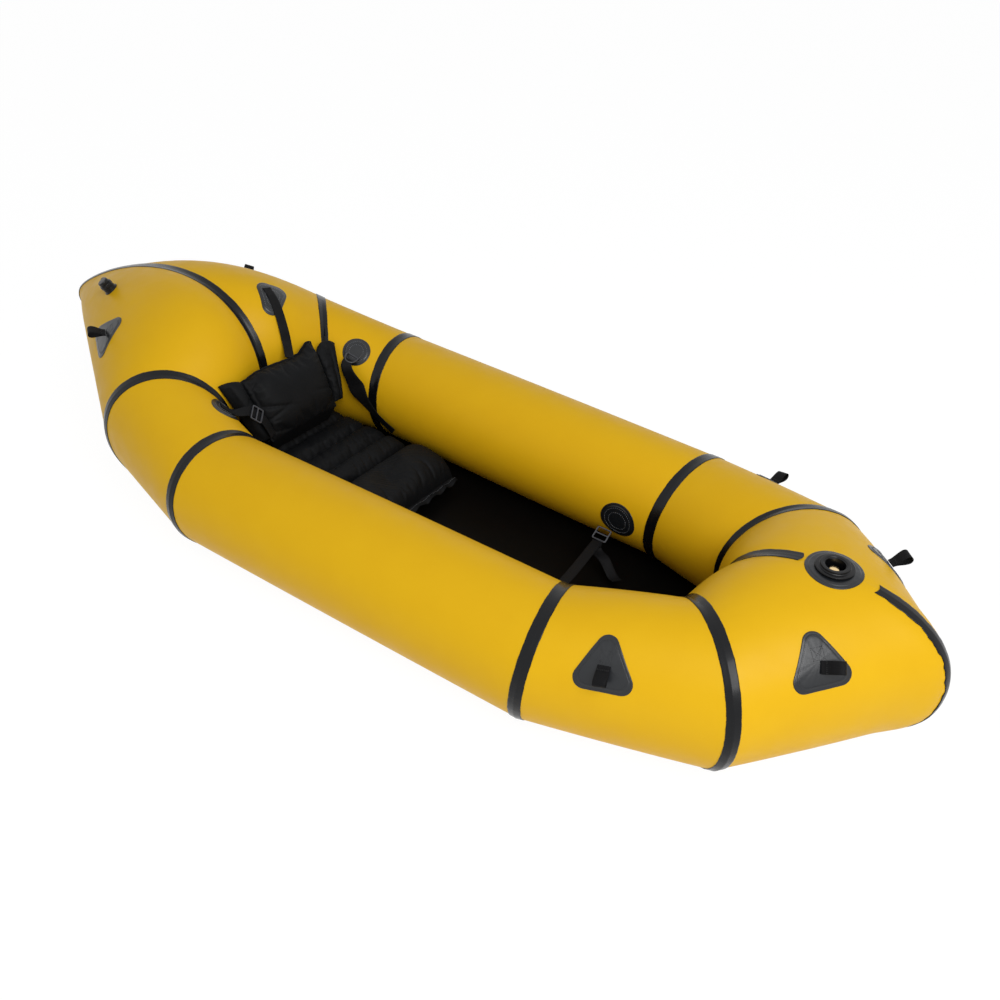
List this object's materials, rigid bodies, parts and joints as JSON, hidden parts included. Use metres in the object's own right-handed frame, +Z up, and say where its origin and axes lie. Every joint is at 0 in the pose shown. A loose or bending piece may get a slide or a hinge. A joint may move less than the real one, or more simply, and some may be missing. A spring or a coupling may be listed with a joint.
{
  "type": "packraft",
  "caption": "Inflatable packraft: seam-taped oval tubes, sheet floor, tie-down loops, inflation valves, channelled seat with a strapped folding backrest, and a foot strap.",
  "frame": {"origin": "centre of the bounding box's bottom face, on the ground under the middle of the boat", "axes": "+X towards the bow, +Y to port, +Z up"},
  "size_m": [2.5411, 0.9348, 0.4493],
  "materials": {
    "tube_fabric": "satin",
    "seam_tape": "satin",
    "patch_fabric": "satin",
    "floor_fabric": "matte",
    "webbing": "matte",
    "seat_fabric": "matte",
    "buckle_plastic": "satin",
    "valve_plastic": "satin",
    "valve_stem": "satin"
  },
  "bodies": {
    "hull": {"stern_panel_starboard": "tube_fabric", "stern_panel_port": "tube_fabric", "quarter_panel_starboard": "tube_fabric", "quarter_panel_port": "tube_fabric", "side_panel_starboard": "tube_fabric", "side_panel_port": "tube_fabric", "shoulder_panel_starboard": "tube_fabric", "shoulder_panel_port": "tube_fabric", "bow_panel_starboard": "tube_fabric", "bow_panel_port": "tube_fabric", "stern_centre_tape": "seam_tape", "bow_centre_tape": "seam_tape", "quarter_tape_starboard": "seam_tape", "quarter_tape_port": "seam_tape", "side_aft_tape_starboard": "seam_tape", "side_aft_tape_port": "seam_tape", "side_fore_tape_starboard": "seam_tape", "side_fore_tape_port": "seam_tape", "shoulder_tape_starboard": "seam_tape", "shoulder_tape_port": "seam_tape", "floor": "floor_fabric", "stern_tie_patch_starboard": "patch_fabric", "stern_tie_patch_port": "patch_fabric", "shoulder_tie_patch_starboard": "patch_fabric", "shoulder_tie_patch_port": "patch_fabric", "bow_tie_patch_starboard": "patch_fabric", "bow_tie_patch_port": "patch_fabric", "bow_valve_patch": "patch_fabric", "bow_valve_body": "valve_plastic", "stern_valve_base": "valve_plastic", "seat_cushion": "seat_fabric", "seat_bolster": "seat_fabric", "seat_front_edge": "seat_fabric", "side_patch_starboard": "patch_fabric", "side_patch_port": "patch_fabric", "side_strap_starboard": "webbing", "side_strap_port": "webbing", "d_ring_port": "buckle_plastic", "rear_patch": "patch_fabric", "rear_strap": "webbing", "foot_patch_starboard": "patch_fabric", "foot_patch_port": "patch_fabric", "foot_ladder_lock": "buckle_plastic", "foot_strap": "webbing"},
    "backrest": {"backrest_pillow": "seat_fabric", "backrest_wing_starboard": "seat_fabric", "backrest_wing_port": "seat_fabric", "ladder_lock_starboard": "buckle_plastic"},
    "loop_stern_starboard": {"stern_loop_starboard": "webbing"},
    "loop_stern_port": {"stern_loop_port": "webbing"},
    "loop_shoulder_starboard": {"shoulder_loop_starboard": "webbing"},
    "loop_shoulder_port": {"shoulder_loop_port": "webbing"},
    "loop_bow_starboard": {"bow_loop_starboard": "webbing"},
    "loop_bow_port": {"bow_loop_port": "webbing"},
    "valve_stem": {"bow_valve_stem": "valve_stem"},
    "valve_core": {"stern_valve_core": "valve_plastic"},
    "valve_ring": {"stern_valve_ring": "valve_plastic"},
    "valve_cap": {"stern_valve_cap": "valve_plastic"},
    "foot_tail": {"foot_strap_tail": "webbing"}
  },
  "joints": [
    {"name": "backrest_fold", "type": "hinge", "parent": "hull", "child": "backrest", "pos_m": [-0.385, 0, 0.1001], "axis": [0, 1, 0], "range_deg": [-1.5, 8], "deforming": ["rear_strap", "side_strap_starboard"]},
    {"name": "stern_loop_starboard_turn", "type": "hinge", "parent": "hull", "child": "loop_stern_starboard", "pos_m": [-0.80369, -0.23678, 0.34931], "axis": [-0.8158, 0.547, 0.1875], "range_deg": [-36, 88]},
    {"name": "stern_loop_port_turn", "type": "hinge", "parent": "hull", "child": "loop_stern_port", "pos_m": [-0.80369, 0.23678, 0.34931], "axis": [0.8158, 0.547, -0.1875], "range_deg": [-36, 88]},
    {"name": "shoulder_loop_starboard_turn", "type": "hinge", "parent": "hull", "child": "loop_shoulder_starboard", "pos_m": [0.75244, -0.37523, 0.25311], "axis": [-0.9535, -0.2792, -0.1136], "range_deg": [-8, 118]},
    {"name": "shoulder_loop_port_turn", "type": "hinge", "parent": "hull", "child": "loop_shoulder_port", "pos_m": [0.75244, 0.37523, 0.25311], "axis": [0.9535, -0.2792, 0.1136], "range_deg": [-36, 88]},
    {"name": "bow_loop_starboard_turn", "type": "hinge", "parent": "hull", "child": "loop_bow_starboard", "pos_m": [1.07785, -0.18538, 0.30355], "axis": [0.4035, -0.5738, -0.7127], "range_deg": [-8, 80]},
    {"name": "bow_loop_port_turn", "type": "hinge", "parent": "hull", "child": "loop_bow_port", "pos_m": [1.07763, 0.18516, 0.30329], "axis": [0.6433, -0.7564, 0.1185], "range_deg": [-46, 76]},
    {"name": "valve_stem_press", "type": "slide", "parent": "hull", "child": "valve_stem", "axis": [-0.011, 0, 0.9999], "range_m": [-0.004, 0], "stiffness_N_per_m": 400},
    {"name": "valve_core_lift", "type": "slide", "parent": "hull", "child": "valve_core", "axis": [-0.335, -0.486, 0.8072], "range_m": [0, 0.00199]},
    {"name": "valve_ring_turn", "type": "hinge", "parent": "valve_core", "child": "valve_ring", "pos_m": [-0.92607, -0.11586, 0.38731], "axis": [-0.335, -0.486, 0.8072], "range_deg": [0, 90]},
    {"name": "valve_cap_turn", "type": "hinge", "parent": "valve_core", "child": "valve_cap", "pos_m": [-0.92607, -0.11586, 0.38731], "axis": [-0.335, -0.486, 0.8072], "range_deg": [0, 90]},
    {"name": "foot_tail_swing", "type": "hinge", "parent": "hull", "child": "foot_tail", "pos_m": [0.4468, 0.1433, 0.0707], "axis": [1, 0, 0], "range_deg": [-3, 8]}
  ],
  "couplings": [
    {"joint": "valve_ring_turn", "follows": "valve_core_lift", "rad_per_m": 787.4}
  ]
}
